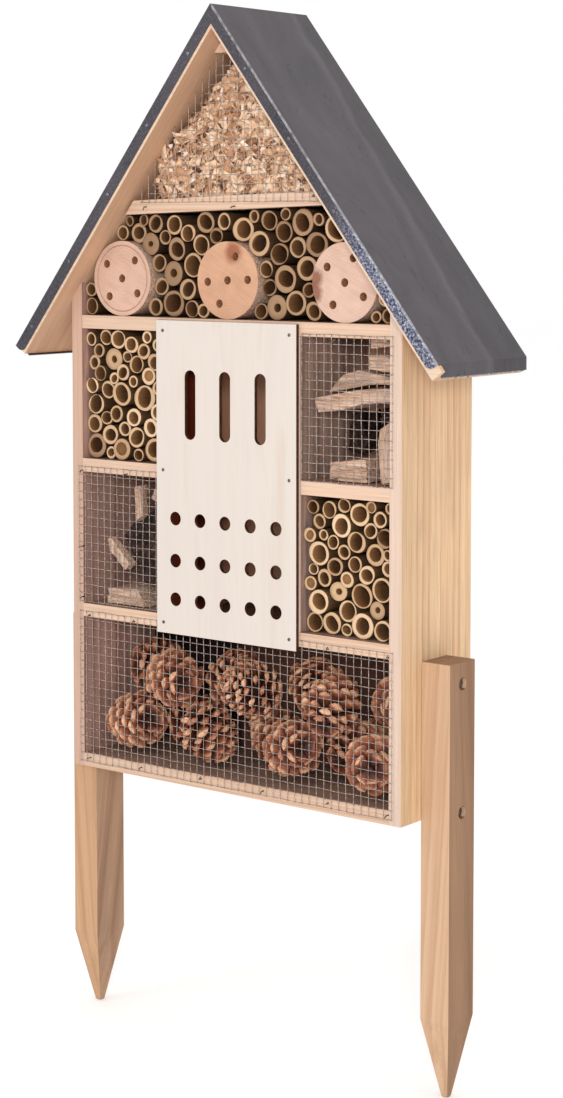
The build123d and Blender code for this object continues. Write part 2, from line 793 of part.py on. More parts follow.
# ---- Cones in two layers on the floor of the box, each lying its own way ----
cone_reach = cone_height / 2 + cone_gap
row_ys = (box_front + cone_reach, box_front + inner_depth - cone_reach)
row_gap = row_ys[1] - row_ys[0]
half_pitch = max(math.sqrt(max((2 * cone_reach) ** 2 - row_gap**2, 0)), cone_reach)
layer_rise = math.sqrt((2 * cone_reach) ** 2 - min(half_pitch, row_gap, 2 * cone_reach) ** 2)
longest_row = int((inner - cone_reach) / half_pitch) + 1
ceiling = lower_top - board - cone_reach
cone_places = [
    ((k - (length - 1) / 2) * 2 * half_pitch, row_ys[row], box_bottom + board + cone_reach + layer * layer_rise)
    for layer in (0, 1)
    for row in (0, 1)
    for length in [longest_row - (row + layer) % 2]
    for k in range(length)
    if layer == 0 or box_bottom + board + cone_reach + layer_rise < ceiling
]
rng = random.Random(3)
with BuildPart() as pine_cones:
    for place in cone_places:
        lean = Vector(rng.uniform(-1, 1), rng.uniform(-1, 1), rng.uniform(-0.5, 0.5)).normalized()
        with BuildSketch(Plane(place, z_dir=lean.cross(Vector(0, 0, 1)), x_dir=lean)) as cone_outline:
            with BuildLine():
                base, tip = (-cone_height / 2, 0), (cone_height / 2, 0)
                Spline(base, (-cone_shoulder, cone_diameter / 2), tip, tangents=((0, 1), (0.35, -1)))
                Line(tip, base)
            make_face()
        revolve(axis=Axis(place, tuple(lean)))
save(pine_cones.part, "pine_cones")
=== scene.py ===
import math
import random

import bmesh
import bpy
import numpy as np
from mathutils import Matrix, Vector, noise


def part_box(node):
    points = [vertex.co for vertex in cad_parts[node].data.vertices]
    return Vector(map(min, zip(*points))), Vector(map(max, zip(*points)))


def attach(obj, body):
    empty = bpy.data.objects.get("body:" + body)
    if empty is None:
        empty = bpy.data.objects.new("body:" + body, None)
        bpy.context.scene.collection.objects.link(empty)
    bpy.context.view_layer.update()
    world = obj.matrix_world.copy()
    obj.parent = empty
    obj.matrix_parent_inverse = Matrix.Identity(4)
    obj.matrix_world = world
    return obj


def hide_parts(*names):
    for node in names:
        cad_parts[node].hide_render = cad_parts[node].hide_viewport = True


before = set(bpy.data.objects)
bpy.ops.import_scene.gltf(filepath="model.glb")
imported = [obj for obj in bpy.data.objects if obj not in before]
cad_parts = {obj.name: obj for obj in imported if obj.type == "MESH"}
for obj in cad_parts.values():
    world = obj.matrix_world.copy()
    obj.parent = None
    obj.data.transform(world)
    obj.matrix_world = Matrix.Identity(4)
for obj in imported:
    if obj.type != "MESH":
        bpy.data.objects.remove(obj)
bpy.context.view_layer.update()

FRONT_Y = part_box("left_side_wall")[0].y
BACK_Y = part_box("back_panel")[0].y
SAME_POINT = 1e-6  # points nearer than this are one point
WIRE_PITCH = 0.00635  # from wire to wire in the mesh
RING_SCALE = 0.314  # the scale of a ring texture is this over the ring's width
TUBE_SIDES = 26
FLAKES = 3000
CONE_SCALES = 92


def roof_angle():
    """The slope of the roof, from the top of the right side wall at its inner face up to the top of the back
    panel in the middle.
    """
    wall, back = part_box("right_side_wall"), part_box("back_panel")
    return math.atan2(back[1].z - wall[1].z, wall[0].x)


SLOPE = roof_angle()
SIN, COS = math.sin(SLOPE), math.cos(SLOPE)


def added(name, data):
    """A new object with this data, linked to the scene."""
    made = bpy.data.objects.new(name, data)
    bpy.context.scene.collection.objects.link(made)
    return made


# ---------------------------------------------------------------- camera and light
def make_camera():
    """Seen from the right of the front, a little above the middle, with upright lines kept upright."""
    turn, tip = math.radians(37.84), math.radians(-3.93)
    data = bpy.data.cameras.new("camera")
    data.lens, data.sensor_width = 74.17, 36.0
    data.shift_y = -0.1522
    data.clip_end = 50.0
    camera = added("camera", data)
    camera.location = (1.0097, FRONT_Y - 1.2380, 0.6006)
    ahead = Vector((-math.sin(turn) * math.cos(tip), math.cos(turn) * math.cos(tip), math.sin(tip)))
    camera.rotation_mode = "QUATERNION"
    camera.rotation_quaternion = ahead.to_track_quat("-Z", "Y")
    bpy.context.scene.camera = camera


def area_light(name, place, target, size, power, colour):
    """A round lamp at a place, turned to a target."""
    data = bpy.data.lights.new(name, "AREA")
    data.shape, data.size, data.energy, data.color = "DISK", size, power, colour
    light = added(name, data)
    light.location = place
    light.rotation_mode = "QUATERNION"
    light.rotation_quaternion = (Vector(target) - Vector(place)).to_track_quat("-Z", "Y")


def make_light():
    """White surroundings, a key light from the right of the front and a weaker fill from the left."""
    scene = bpy.context.scene
    scene.view_settings.view_transform = "Standard"
    world = bpy.data.worlds.new("studio")
    scene.world = world
    world.use_nodes = True
    world.node_tree.nodes["Background"].inputs["Color"].default_value = (1, 1, 1, 1)
    world.node_tree.nodes["Background"].inputs["Strength"].default_value = 1.0
    area_light("key", (1.62, -2.14, 0.95), (0, 0, 0.4), 0.5, 33, (1.0, 0.97, 0.94))
    area_light("fill", (-1.2, -2.3, 1.9), (0, 0, 0.4), 0.9, 7, (1.0, 0.98, 0.96))


# ---------------------------------------------------------------- shader helpers
def srgb(r, g, b):
    """A display colour, 0 to 255, as the linear colour that a shader takes."""
    return tuple(((c / 255 + 0.055) / 1.055) ** 2.4 if c > 10 else c / 3294.6 for c in (r, g, b)) + (1.0,)


class Shader:
    """One node material, with short calls for the nodes it is made of."""

    def __init__(self, name, roughness=0.6, metallic=0.0, specular=0.4):
        self.material = bpy.data.materials.new(name)
        self.material.use_nodes = True
        self.tree = self.material.node_tree
        self.bsdf = self.tree.nodes["Principled BSDF"]
        self.bsdf.inputs["Roughness"].default_value = roughness
        self.bsdf.inputs["Metallic"].default_value = metallic
        self.bsdf.inputs["Specular IOR Level"].default_value = specular

    def put(self, socket, value):
        if isinstance(value, bpy.types.NodeSocket):
            self.tree.links.new(value, socket)
        else:
            socket.default_value = value

    def node(self, kind, inputs, **settings):
        made = self.tree.nodes.new(kind)
        for key, value in settings.items():
            setattr(made, key, value)
        for key, value in inputs.items():
            self.put(made.inputs[key], value)
        return made

    def place(self):
        return self.tree.nodes.get("Texture Coordinate", None) or self.node("ShaderNodeTexCoord", {})

    def at(self, move=(0, 0, 0), turn=(0, 0, 0), stretch=(1, 1, 1), vector=None):
        """The object's own place, or another vector, moved, turned and stretched."""
        vector = vector or self.place().outputs["Object"]
        inputs = {"Vector": vector, "Location": move, "Rotation": turn, "Scale": stretch}
        return self.node("ShaderNodeMapping", inputs).outputs[0]

    def noise(self, vector, scale, detail=3.0, rough=0.55, bend=0.0, colour=False):
        made = self.node(
            "ShaderNodeTexNoise",
            {"Vector": vector, "Scale": scale, "Detail": detail, "Roughness": rough, "Distortion": bend},
        )
        return made.outputs["Color" if colour else "Fac"]

    def voronoi(self, vector, scale, feature="F1"):
        made = self.node("ShaderNodeTexVoronoi", {"Vector": vector, "Scale": scale}, feature=feature)
        return made.outputs["Distance"]

    def rings(self, vector, scale, bend=0.0):
        made = self.node(
            "ShaderNodeTexWave",
            {"Vector": vector, "Scale": scale, "Distortion": bend, "Detail": 2.0, "Detail Scale": 1.0},
            wave_type="RINGS",
            rings_direction="Z",
            wave_profile="SAW",
        )
        return made.outputs["Fac"]

    def math(self, kind, a, b=0.0, c=0.5):
        made = self.node("ShaderNodeMath", {0: a, 1: b, 2: c}, operation=kind)
        return made.outputs[0]

    def vectors(self, kind, inputs, output=0):
        return self.node("ShaderNodeVectorMath", inputs, operation=kind).outputs[output]

    def times(self, a, b):
        return self.math("MULTIPLY", a, b)

    def add(self, a, b, amount):
        """Vector a moved by vector b, centred on half, times amount."""
        half = self.vectors("SUBTRACT", {0: b, 1: (0.5, 0.5, 0.5)})
        moved = self.vectors("SCALE", {0: half, "Scale": amount})
        return self.vectors("ADD", {0: a, 1: moved})

    def ramp(self, value, *stops):
        made = self.node("ShaderNodeValToRGB", {"Fac": value})
        elements = made.color_ramp.elements
        while len(elements) < len(stops):
            elements.new(0.5)
        for element, (position, colour) in zip(elements, stops):
            element.position = position
            element.color = colour if isinstance(colour, tuple) else (colour, colour, colour, 1)
        return made.outputs["Color"]

    def mix(self, share, a, b, kind="MIX"):
        made = self.node("ShaderNodeMix", {}, data_type="RGBA", blend_type=kind)
        self.put(made.inputs[0], share)
        self.put(made.inputs[6], a)
        self.put(made.inputs[7], b)
        return made.outputs[2]

    def darken(self, colour, value, *stops):
        """The colour multiplied by a ramp over a value."""
        return self.mix(1.0, colour, self.ramp(value, *stops), "MULTIPLY")

    def split(self, vector):
        return self.node("ShaderNodeSeparateXYZ", {0: vector}).outputs

    def attribute(self, name):
        return self.node("ShaderNodeAttribute", {}, attribute_name=name).outputs

    def bump(self, height, strength, distance=0.0005):
        made = self.node("ShaderNodeBump", {"Height": height, "Strength": strength, "Distance": distance})
        self.put(self.bsdf.inputs["Normal"], made.outputs[0])

    def finish(self, colour, roughness=None):
        self.put(self.bsdf.inputs["Base Color"], colour)
        if roughness is not None:
            self.put(self.bsdf.inputs["Roughness"], roughness)
        return self.material


GRAIN = {
    "x": (0, math.radians(-90), 0),
    "y": (math.radians(90), 0, 0),
    "z": (0, 0, 0),
}


def wood(name, along, light, dark, pith, ring, depth, fibre=0.35, patch=0.25):
    """Solid wood: growth rings round a pith line, fibres along it, and slow changes of tone."""
    s = Shader(name, 0.62)
    grain = s.at(pith, GRAIN[along] if isinstance(along, str) else along)
    slow = s.at(stretch=(1, 1, 0.12), vector=grain)
    bent = s.add(slow, s.noise(slow, 9.0, 2.0, colour=True), 0.022)
    rings = s.rings(bent, RING_SCALE / ring)
    late = s.ramp(rings, (0.0, 0.0), (0.55, 0.18), (0.86, 1.0), (1.0, 0.25))
    fibres = s.noise(s.at(stretch=(1, 1, 0.018), vector=grain), 1500.0, 3.0, 0.7)
    streaks = s.noise(s.at(stretch=(1, 1, 0.025), vector=bent), 190.0, 2.0)
    bands = s.noise(s.at(stretch=(1, 1, 0.05), vector=grain), 55.0, 2.0)
    patches = s.noise(s.at(stretch=(1, 1, 0.2), vector=grain), 26.0, 3.0)
    strength = s.times(s.ramp(bands, (0.36, 0.25), (0.62, 1.0)), depth * 1.35)
    colour = s.mix(s.times(late, strength), light, dark)
    colour = s.mix(s.times(s.ramp(streaks, (0.45, 0.0), (0.72, 1.0)), strength), colour, dark)
    colour = s.darken(colour, fibres, (0.3, 1.0 - fibre), (0.7, 1.0))
    colour = s.darken(colour, patches, (0.3, 1.0 - patch), (0.7, 1.0))
    s.bump(s.math("ADD", fibres, s.times(rings, 0.4)), 0.22, 0.0004)
    return s.finish(colour)


# ---------------------------------------------------------------- materials
WOODS = (
    # material, way of the grain, light, dark, a point on the pith line, ring width, depth, fibre, patch
    ("wall_left_wood", "z", (236, 199, 158), (204, 152, 106), (0.125, -0.13, 0), 0.0072, 0.5),
    ("wall_right_wood", "z", (236, 199, 158), (204, 152, 106), (-0.125, -0.13, 0), 0.0072, 0.5),
    ("inside_wood", "x", (164, 130, 112), (132, 94, 76), (0.0, 0.05, 0.03), 0.004, 0.5, 0.3, 0.25),
    ("edge_right_wood", "z", (208, 184, 167), (192, 160, 140), (0.03, 0.05, 0), 0.004, 0.5, 0.15, 0.1),
    # darker than edge_right_wood: a painted shade towards the left
    ("edge_left_wood", "z", (197, 162, 142), (176, 136, 113), (0.03, 0.05, 0), 0.004, 0.5, 0.15, 0.1),
    ("wall_inside_wood", "z", (200, 157, 142), (140, 98, 88), (0.0, -0.11, 0), 0.006, 0.6, 0.4, 0.3),
    ("roof_edge_wood", "x", (222, 196, 172), (204, 172, 144), (0.0, 0.05, 0.03), 0.004, 0.5, 0.2, 0.12),
    ("shelf_wood", "x", (216, 185, 161), (194, 153, 124), (0.0, 0.05, 0.03), 0.0036, 0.5, 0.2, 0.12),
    # darker than right_stake_front: a painted shade towards the left
    ("left_stake_front", (0, math.radians(5), 0), (197, 156, 119), (170, 126, 88),
     (0.06, 0.02, 0), 0.009, 0.5, 0.2, 0.15),
    ("left_stake_side", (math.radians(9), 0, 0), (178, 142, 112), (144, 104, 76),
     (0.02, -0.05, 0), 0.009, 0.6, 0.25, 0.2),
    ("right_stake_front", (0, math.radians(-4), 0), (206, 170, 138), (184, 142, 108),
     (0.06, 0.02, 0), 0.009, 0.5, 0.15, 0.12),
    ("right_stake_side", (math.radians(-3), 0, 0), (157, 119, 88), (128, 88, 60),
     (0.02, -0.06, 0), 0.008, 0.5, 0.25, 0.2),
    ("divider_side_wood", "z", (196, 162, 146), (134, 102, 92), (0.0, -0.1, 0), 0.005, 0.7, 0.45, 0.35),
    ("back_outside_wood", "z", (212, 178, 148), (182, 140, 108),
     (0.03, -0.05, 0), 0.009, 0.55, 0.2, 0.15),
    ("roof_left_wood", (0, SLOPE - math.radians(90), 0), (213, 171, 139), (182, 132, 97),
     (0.05, 0.04, 0), 0.012, 0.4, 0.22, 0.25),
    ("roof_right_wood", (0, math.radians(90) - SLOPE, 0), (226, 186, 154), (196, 146, 110),
     (-0.05, 0.04, 0), 0.012, 0.4, 0.22, 0.25),
    ("block_wood", "x", (244, 212, 184), (214, 160, 128), (0, 0.02, 0.05), 0.003, 0.5),
)


def make_materials():
    """Every material by its name."""
    m = {}
    for name, along, light, dark, *look in WOODS:
        m[name] = wood(name, along, srgb(*light), srgb(*dark), *look)
    m["browned"] = make_divider_side()
    m["back_inside"] = make_back_inside()
    m["panel"] = make_plywood()
    m["scorch"] = make_scorch()
    m["sheet"] = make_sheet_metal()
    m["wire"] = make_metal("wire_metal", srgb(192, 180, 172), srgb(112, 99, 91), 0.36, 0.6)
    m["nail"] = make_metal("nail_metal", srgb(120, 116, 112), srgb(62, 56, 52), 0.42)
    m["roof_nail"] = make_metal("roof_nail_metal", srgb(150, 148, 154), srgb(78, 76, 82), 0.36)
    # a lighter metal for the torn burr of the hem, and a painted highlight on the roof's fold
    m["fold"] = make_metal("torn_burr_and_painted_fold_highlight", srgb(178, 176, 178), srgb(98, 95, 98), 0.5)
    m["rim"] = make_bamboo_rim()
    m["skin"] = make_bamboo_skin()
    m["bore"] = make_bamboo_bore()
    m["drilled"] = make_drilled()
    m["bark"] = make_bark()
    m["split"] = make_split_wood("split_wood", "x")
    m["split_upright"] = make_split_wood("split_wood_upright", "z")
    m["flake"] = make_flake()
    m["cone"] = make_cone_material()
    m["floor"] = make_floor()
    return m


def make_back_inside():
    """The inside of the back panel: painted shade behind the left and bottom bays, painted light behind the
    front panel and, less, behind the right bay.
    """
    s = Shader("back_inside_wood", 0.75, specular=0.2)
    fibres = s.noise(s.at(stretch=(1, 1, 0.02)), 900.0, 4.0, 0.7)
    bands = s.noise(s.at(stretch=(1, 1, 0.03)), 150.0, 3.0, 0.6)
    colour = s.ramp(bands, (0.3, srgb(128, 88, 78)), (0.5, srgb(166, 122, 108)), (0.72, srgb(198, 154, 136)))
    colour = s.darken(colour, fibres, (0.3, 0.66), (0.65, 1.0))
    across = s.math("ADD", s.times(s.split(s.place().outputs["Object"])[0], 3.0), 0.5)
    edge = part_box("left_divider")[1].x * 3.0
    # painted shade: darker and more mauve behind the left bay
    colour = s.darken(colour, across, (0.5 + edge - 0.02, (0.46, 0.39, 0.49, 1)), (0.5 + edge, 1.0))
    near, far = 0.5 + edge, 0.5 - edge
    # painted light: pale behind the front panel, and about half as pale behind the right bay
    painted_light_share = s.ramp(across, (near, 0.0), (near + 0.02, 0.97), (far - 0.02, 0.97), (far, 0.55))
    colour = s.mix(painted_light_share, colour, srgb(255, 198, 166))
    # painted shade: darker behind the bottom bay
    in_bottom_bay = s.math("LESS_THAN", s.split(s.place().outputs["Object"])[2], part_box("lower_shelf")[0].z)
    colour = s.mix(in_bottom_bay, colour, s.mix(1.0, colour, srgb(96, 84, 84), "MULTIPLY"))
    s.bump(fibres, 0.3, 0.0004)
    return s.finish(colour)


def make_divider_side():
    """The divider behind the slots: dark brown near the front panel, a painted shade, and pale towards the
    back, a painted light.
    """
    s = Shader("divider_side", 0.75, specular=0.2)
    fibres = s.noise(s.at(stretch=(1, 1, 0.02)), 900.0, 4.0, 0.7)
    depth = BACK_Y - FRONT_Y
    share = s.math("MULTIPLY_ADD", s.split(s.place().outputs["Object"])[1], 1 / depth, -FRONT_Y / depth)
    # painted shade near the front panel, painted light further back
    colour = s.ramp(share, (0.5, srgb(112, 42, 18)), (0.78, srgb(255, 200, 164)))
    s.bump(fibres, 0.3, 0.0004)
    return s.finish(s.darken(colour, fibres, (0.3, 0.66), (0.65, 1.0)))


def make_plywood():
    s = Shader("plywood_face", 0.55)
    grain = s.at(stretch=(1, 1, 0.1))
    figure = s.noise(grain, 70.0, 4.0, 0.6, 0.4)
    fibres = s.noise(s.at(stretch=(1, 1, 0.02)), 1700.0, 2.0, 0.6)
    tones = (0.3, srgb(197, 186, 178)), (0.5, srgb(200, 190, 182)), (0.75, srgb(194, 181, 169))
    colour = s.ramp(figure, *tones)
    colour = s.darken(colour, fibres, (0.3, 0.975), (0.7, 1.0))
    s.bump(fibres, 0.12, 0.0003)
    return s.finish(colour)


def make_scorch():
    s = Shader("scorched_edge", 0.8, specular=0.2)
    layers = s.noise(s.at(stretch=(0.3, 1, 0.3)), 900.0, 2.0)
    return s.finish(s.ramp(layers, (0.35, srgb(38, 20, 12)), (0.7, srgb(92, 52, 30))))


def make_metal(name, light, dark, roughness, metallic=1.0):
    s = Shader(name, roughness, metallic)
    tone = s.noise(s.at(), 700.0, 3.0)
    satin = s.ramp(tone, (0.3, roughness - 0.1), (0.7, roughness + 0.12))
    return s.finish(s.ramp(tone, (0.35, dark), (0.65, light)), satin)


def make_sheet_metal():
    """Dark galvanised sheet: smudged and satin above, with crystals that show on the narrow flange."""
    s = Shader("galvanised_sheet", 0.4, 0.85)
    smudge = s.noise(s.at(stretch=(1.0, 1.6, 0.6)), 14.0, 5.0, 0.62, 0.8)
    speck = s.noise(s.at(), 420.0, 4.0, 0.7)
    base = s.ramp(smudge, (0.25, srgb(73, 69, 73)), (0.5, srgb(92, 87, 91)), (0.8, srgb(112, 105, 109)))
    base = s.darken(base, speck, (0.25, 0.88), (0.75, 1.0))
    marks = s.noise(s.at(stretch=(1.0, 1.4, 0.5)), 75.0, 3.0, 0.6, 1.2)
    base = s.darken(base, marks, (0.3, 0.72), (0.37, 1.0), (0.68, 1.0), (0.76, 1.12))
    where = s.split(s.place().outputs["Object"])
    facing = s.split(s.node("ShaderNodeNewGeometry", {}).outputs["Normal"])[1]
    on_front = s.math("GREATER_THAN", s.times(facing, -1.0), 0.8)
    crystals = s.ramp(
        s.noise(s.at(stretch=(1, 0.2, 1)), 560.0, 3.0, 0.8),
        (0.36, srgb(24, 26, 48)), (0.47, srgb(88, 92, 118)),
        (0.58, srgb(150, 152, 165)), (0.68, srgb(232, 232, 236)),
    )
    low_right = s.ramp(s.times(where[0], 5.0), (0.52, 0.0), (0.66, 1.0))
    share = s.times(on_front, s.math("ADD", s.times(low_right, 0.86), 0.09))
    shaded = s.times(on_front, s.math("MULTIPLY_ADD", low_right, -0.3, 0.3))
    base = s.mix(shaded, base, srgb(36, 36, 44))
    colour = s.mix(share, base, crystals)
    low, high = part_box("roof_sheet")
    # painted light and shade of a crease on the slopes: a lighter band, then a darker one, along a slanting
    # line
    drift = s.times(s.noise(s.at(), 18.0, 2.0), 0.018)
    line = s.math("ADD", s.times(where[2], 0.12), -0.0588)
    past = s.math("SUBTRACT", s.math("SUBTRACT", where[1], line), drift)
    painted_crease_light = s.ramp(s.math("MULTIPLY_ADD", past, 10.0), (0.40, 1.0), (0.47, 1.22), (0.53, 0.84), (0.8, 0.95))
    colour = s.mix(s.math("SUBTRACT", 1.0, on_front), colour, s.mix(1.0, colour, painted_crease_light, "MULTIPLY"))
    lift = s.math("ADD", s.times(s.math("ABSOLUTE", where[0]), SIN), s.times(where[2], COS))
    near_fold = s.math("GREATER_THAN", lift, high.z * COS - 0.0011)
    at_front = s.math("LESS_THAN", where[1], low.y + 0.0009)
    # painted highlight: a bright broken line along the front fold of the right half
    highlight_breakup = s.ramp(s.noise(s.at(), 260.0, 3.0), (0.3, 0.1), (0.65, 0.45))
    right_half = s.math("GREATER_THAN", where[0], 0.0)
    painted_fold_highlight = s.times(s.times(near_fold, right_half), s.times(at_front, highlight_breakup))
    colour = s.mix(painted_fold_highlight, colour, srgb(228, 226, 226))
    s.bump(s.noise(s.at(), 60.0, 2.0), 0.06, 0.001)
    return s.finish(colour, s.ramp(smudge, (0.3, 0.34), (0.7, 0.5)))


def make_bamboo_rim():
    s = Shader("bamboo_rim", 0.7)
    pores = s.voronoi(s.at(stretch=(1, 0.3, 1)), 1500.0)
    tone = s.attribute("tint")["Fac"]
    colour = s.ramp(tone, (0.0, srgb(138, 106, 78)), (0.5, srgb(188, 154, 118)), (1.0, srgb(212, 182, 148)))
    colour = s.darken(colour, pores, (0.05, 0.72), (0.3, 1.0))
    s.bump(pores, 0.2, 0.0003)
    return s.finish(colour)


def make_bamboo_skin():
    s = Shader("bamboo_skin", 0.42)
    streak = s.noise(s.at(stretch=(1, 0.04, 1)), 700.0, 3.0)
    tone = s.attribute("tint")["Fac"]
    # dark brown skin, which shows only in the gaps between tubes: partly a painted shade there
    colour = s.ramp(tone, (0.0, srgb(52, 36, 24)), (1.0, srgb(92, 68, 44)))
    colour = s.darken(colour, streak, (0.3, 0.7), (0.7, 1.0))
    return s.finish(colour)


def make_bamboo_bore():
    """The inside of a tube, browner and darker with depth; the darkening with depth is a painted shade."""
    s = Shader("bamboo_bore", 0.75, specular=0.2)
    streak = s.noise(s.at(stretch=(1, 0.06, 1)), 900.0, 3.0)
    deep = s.attribute("deep")["Fac"]
    tone = s.attribute("tint")["Fac"]
    near = s.mix(tone, srgb(104, 70, 42), srgb(154, 112, 72))
    # painted shade: darker deeper in the bore
    colour = s.mix(deep, near, srgb(54, 32, 18))
    colour = s.darken(colour, streak, (0.3, 0.72), (0.7, 1.0))
    return s.finish(colour)


def make_log_face(name, centre, base, dark, ring, marks):
    """End grain: rings round the middle, fine rays and a few checks."""
    s = Shader(name, 0.7)
    middle = s.at(move=(-centre[0], 0, -centre[1]))
    bent = s.add(middle, s.noise(middle, 45.0, 2.0, colour=True), 0.007)
    rings = s.rings(s.at(turn=GRAIN["y"], vector=bent), RING_SCALE / ring)
    late = s.ramp(rings, (0.0, 0.0), (0.6, 0.25), (0.85, 1.0), (1.0, 0.2))
    blot = s.noise(s.at(stretch=(1, 0.4, 1)), 60.0, 3.0)
    saw = s.noise(s.at(stretch=(1, 1, 0.05), vector=s.at(turn=(0, math.radians(64), 0))), 900.0, 2.0)
    fade = s.noise(s.at(), 40.0, 2.0)
    colour = s.mix(s.times(late, s.ramp(fade, (0.35, 0.03), (0.7, 0.26))), base, dark)
    for spot, size, tone in marks:
        blurred = s.add(s.place().outputs["Object"], s.noise(s.at(), 130.0, 3.0, colour=True), 0.006)
        away = s.vectors("SUBTRACT", {0: blurred, 1: spot})
        near = s.vectors("LENGTH", {0: away}, "Value")
        colour = s.mix(s.ramp(s.math("DIVIDE", near, size), (0.5, 0.85), (1.0, 0.0)), colour, tone)
    colour = s.darken(colour, blot, (0.3, 0.86), (0.65, 1.0))
    colour = s.darken(colour, saw, (0.3, 0.9), (0.6, 1.0))
    s.bump(saw, 0.25, 0.0004)
    return s.finish(colour)


def make_drilled():
    s = Shader("drilled_bore", 0.8, specular=0.2)
    torn = s.noise(s.at(stretch=(1, 0.3, 1)), 1200.0, 3.0)
    return s.finish(s.ramp(torn, (0.3, srgb(128, 82, 56)), (0.7, srgb(186, 132, 98))))


def make_bark():
    s = Shader("dry_bark", 0.85, specular=0.2)
    rough = s.noise(s.at(), 90.0, 6.0, 0.7, 1.0)
    crack = s.voronoi(s.at(stretch=(1.4, 1, 0.7)), 160.0, "DISTANCE_TO_EDGE")
    colour = s.ramp(rough, (0.3, srgb(20, 12, 11)), (0.5, srgb(48, 32, 28)), (0.72, srgb(92, 66, 56)))
    colour = s.darken(colour, crack, (0.0, 0.35), (0.12, 1.0))
    s.bump(s.math("ADD", rough, crack), 0.6, 0.0015)
    return s.finish(colour)


def make_split_wood(name, along):
    s = Shader(name, 0.75, specular=0.25)
    fibres = s.noise(s.at(stretch=(1, 1, 0.05), vector=s.at(turn=GRAIN[along])), 620.0, 5.0, 0.7, 0.2)
    patches = s.noise(s.at(), 40.0, 3.0)
    tones = (0.3, srgb(112, 80, 64)), (0.5, srgb(190, 154, 130)), (0.72, srgb(240, 216, 196))
    colour = s.ramp(fibres, *tones)
    colour = s.mix(s.ramp(patches, (0.45, 0.0), (0.65, 0.6)), colour, srgb(168, 146, 134))
    s.bump(fibres, 0.85, 0.0012)
    return s.finish(colour)


def make_flake():
    s = Shader("shaving", 0.65)
    tone = s.attribute("tint")["Fac"]
    fibres = s.noise(s.at(), 700.0, 3.0)
    # low tints carry the painted shade of deeper flakes and the core; the rest of the tint is random tone
    colour = s.ramp(
        tone,
        (0.0, srgb(92, 54, 32)), (0.1, srgb(190, 138, 100)), (0.45, srgb(228, 190, 154)),
        (0.8, srgb(250, 228, 206)), (1.0, srgb(218, 166, 138)),
    )
    colour = s.darken(colour, fibres, (0.3, 0.84), (0.65, 1.0))
    return s.finish(colour)


def make_cone_material():
    s = Shader("cone_scale", 0.6, specular=0.3)
    along = s.attribute("along")["Fac"]
    speck = s.noise(s.at(), 500.0, 4.0, 0.7)
    colour = s.ramp(
        along,
        (0.0, srgb(38, 17, 11)), (0.5, srgb(106, 54, 36)),
        (0.8, srgb(168, 99, 68)), (1.0, srgb(236, 184, 146)),
    )
    colour = s.darken(colour, speck, (0.3, 0.65), (0.65, 1.0))
    s.bump(speck, 0.3, 0.0005)
    return s.finish(colour)


def make_floor():
    s = Shader("studio_floor", 0.9, specular=0.1)
    return s.finish(s.ramp(s.noise(s.at(), 3.0), (0.3, srgb(254, 254, 254)), (0.7, srgb(255, 255, 255))))


# ---------------------------------------------------------------- mesh helpers
def mesh_object(name, verts, faces, materials, picks=None, smooth=True):
    mesh = bpy.data.meshes.new(name)
    mesh.from_pydata([tuple(v) for v in verts], [], faces)
    for material in materials:
        mesh.materials.append(material)
    if picks is not None:
        mesh.polygons.foreach_set("material_index", picks)
    mesh.polygons.foreach_set("use_smooth", [smooth] * len(mesh.polygons))
    mesh.update()
    return added(name, mesh)


def set_attribute(piece, name, values):
    layer = piece.data.attributes.new(name, "FLOAT", "POINT")
    layer.data.foreach_set("value", np.asarray(values, np.float32))


def settle(piece, slot, *nodes):
    """The piece rides on the one body and stands for the CAD nodes it is made from; slot is not used."""
    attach(piece, "root")
    if nodes:
        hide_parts(*nodes)
    return piece


def cad_mesh(node):
    """A bmesh of a CAD node with its points joined."""
    bm = bmesh.new()
    bm.from_mesh(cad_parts[node].data)
    bmesh.ops.remove_doubles(bm, verts=bm.verts, dist=SAME_POINT)
    return bm


def loose_parts(node):
    """The points of each separate solid in a CAD node, lowest first."""
    bm = cad_mesh(node)
    seen, parts = set(), []
    for start in bm.verts:
        if start in seen:
            continue
        seen.add(start)
        queue, points = [start], []
        while queue:
            vert = queue.pop()
            points.append(tuple(vert.co))
            for edge in vert.link_edges:
                other = edge.other_vert(vert)
                if other not in seen:
                    seen.add(other)
                    queue.append(other)
        parts.append(np.array(points))
    bm.free()
    middle = lambda points: tuple(round(float(points[:, k].mean()), 5) for k in (2, 0, 1))
    return sorted(parts, key=middle)


def around(sides):
    """The angles of a ring of points."""
    return [math.tau * k / sides for k in range(sides)]


def closed_rows(start, rows, sides):
    """The faces of a shape made of rings of points, one after another, with both ends closed."""
    faces = []
    for ring in range(start, start + (rows - 1) * sides, sides):
        for k in range(sides):
            a, b = ring + k, ring + (k + 1) % sides
            faces.append((a, b, b + sides, a + sides))
    last = start + (rows - 1) * sides
    faces.append(tuple(reversed(range(start, start + sides))))
    faces.append(tuple(range(last, last + sides)))
    return faces


def outward(piece):
    """Turns every face of a piece outwards."""
    bm = bmesh.new()
    bm.from_mesh(piece.data)
    bmesh.ops.recalc_face_normals(bm, faces=bm.faces)
    bm.to_mesh(piece.data)
    bm.free()
    return piece


def made_plain(piece):
    """Swaps a piece's mesh for the one that its modifier makes of it."""
    evaluated = piece.evaluated_get(bpy.context.evaluated_depsgraph_get())
    mesh = bpy.data.meshes.new_from_object(evaluated)
    piece.modifiers.clear()
    piece.data = mesh
    return mesh


